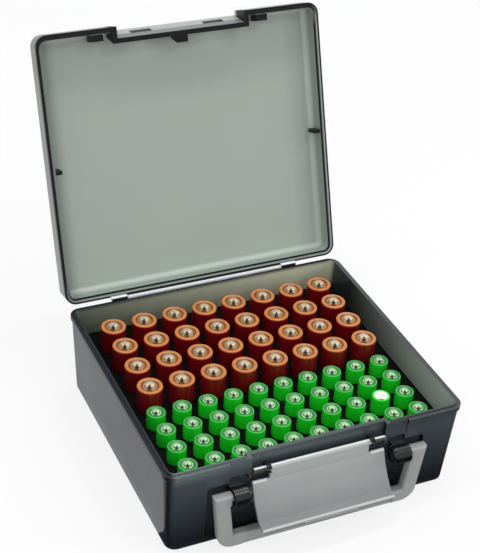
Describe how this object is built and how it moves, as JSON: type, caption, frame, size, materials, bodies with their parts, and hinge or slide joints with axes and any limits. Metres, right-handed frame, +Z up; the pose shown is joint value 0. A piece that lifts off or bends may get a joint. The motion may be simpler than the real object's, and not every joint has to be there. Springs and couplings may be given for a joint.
{
  "type": "battery storage case",
  "caption": "Carry case with a hinged lid, a swinging front handle, a latch plate over the front and a rack that holds rows of round dry cells in its tub.",
  "frame": {"origin": "on the table, under the centre of the tub's rim", "axes": "+Z up, -Y towards the front with the latch and handle, +X to the right seen from the front, hinge at the back on +Y"},
  "size_m": [0.175, 0.2425, 0.2018],
  "materials": {
    "tub_smoke": "dark smoke grey polypropylene, satin outside, slightly translucent",
    "lid_smoke": "smoke grey translucent polypropylene, satin",
    "latch_grey": "pale grey translucent polypropylene",
    "handle_grey": "pale grey polypropylene, satin",
    "rack_black": "black, satin",
    "pin_steel": "drawn wire",
    "aa_can": null,
    "aaa_can": null,
    "aa_jacket": "glossy printed film, dark red with a copper shoulder",
    "aaa_jacket": "glossy printed film, green"
  },
  "bodies": {
    "base": {"base_shell": "tub_smoke", "cell_rack": "rack_black", "hinge_pin": "pin_steel"},
    "lid": {"lid_shell": "lid_smoke"},
    "latch": {"latch_plate": "latch_grey"},
    "handle": {"carry_handle": "handle_grey"},
    "aa_row_1": {"aa_cans_row_1": "aa_can", "aa_jackets_row_1": "aa_jacket"},
    "aa_row_2": {"aa_cans_row_2": "aa_can", "aa_jackets_row_2": "aa_jacket"},
    "aa_row_3": {"aa_cans_row_3": "aa_can", "aa_jackets_row_3": "aa_jacket"},
    "aa_row_4": {"aa_cans_row_4": "aa_can", "aa_jackets_row_4": "aa_jacket"},
    "aaa_row_1": {"aaa_cans_row_1": "aaa_can", "aaa_jackets_row_1": "aaa_jacket"},
    "aaa_row_2": {"aaa_cans_row_2": "aaa_can", "aaa_jackets_row_2": "aaa_jacket"},
    "aaa_row_3": {"aaa_cans_row_3": "aaa_can", "aaa_jackets_row_3": "aaa_jacket"},
    "aaa_row_4": {"aaa_cans_row_4": "aaa_can", "aaa_jackets_row_4": "aaa_jacket"}
  },
  "joints": [
    {"name": "lid_hinge", "type": "hinge", "parent": "base", "child": "lid", "pos_m": [0, 0.0793, 0.0539], "axis": [-1, 0, 0], "range_deg": [-110, 0]},
    {"name": "latch_hinge", "type": "hinge", "parent": "base", "child": "latch", "pos_m": [0, -0.0774, 0.0448], "axis": [1, 0, 0], "range_deg": [-163, 0]},
    {"name": "handle_pivot", "type": "hinge", "parent": "base", "child": "handle", "pos_m": [0, -0.0815, 0.0346], "axis": [1, 0, 0], "range_deg": [-170, 0]},
    {"name": "aa_row_1_lift", "type": "slide", "parent": "base", "child": "aa_row_1", "axis": [0, 0, 1], "range_m": [0, 0.06]},
    {"name": "aa_row_2_lift", "type": "slide", "parent": "base", "child": "aa_row_2", "axis": [0, 0, 1], "range_m": [0, 0.06]},
    {"name": "aa_row_3_lift", "type": "slide", "parent": "base", "child": "aa_row_3", "axis": [0, 0, 1], "range_m": [0, 0.06]},
    {"name": "aa_row_4_lift", "type": "slide", "parent": "base", "child": "aa_row_4", "axis": [0, 0, 1], "range_m": [0, 0.06]},
    {"name": "aaa_row_1_lift", "type": "slide", "parent": "base", "child": "aaa_row_1", "axis": [0, 0, 1], "range_m": [0, 0.06]},
    {"name": "aaa_row_2_lift", "type": "slide", "parent": "base", "child": "aaa_row_2", "axis": [0, 0, 1], "range_m": [0, 0.06]},
    {"name": "aaa_row_3_lift", "type": "slide", "parent": "base", "child": "aaa_row_3", "axis": [0, 0, 1], "range_m": [0, 0.06]},
    {"name": "aaa_row_4_lift", "type": "slide", "parent": "base", "child": "aaa_row_4", "axis": [0, 0, 1], "range_m": [0, 0.06]}
  ]
}
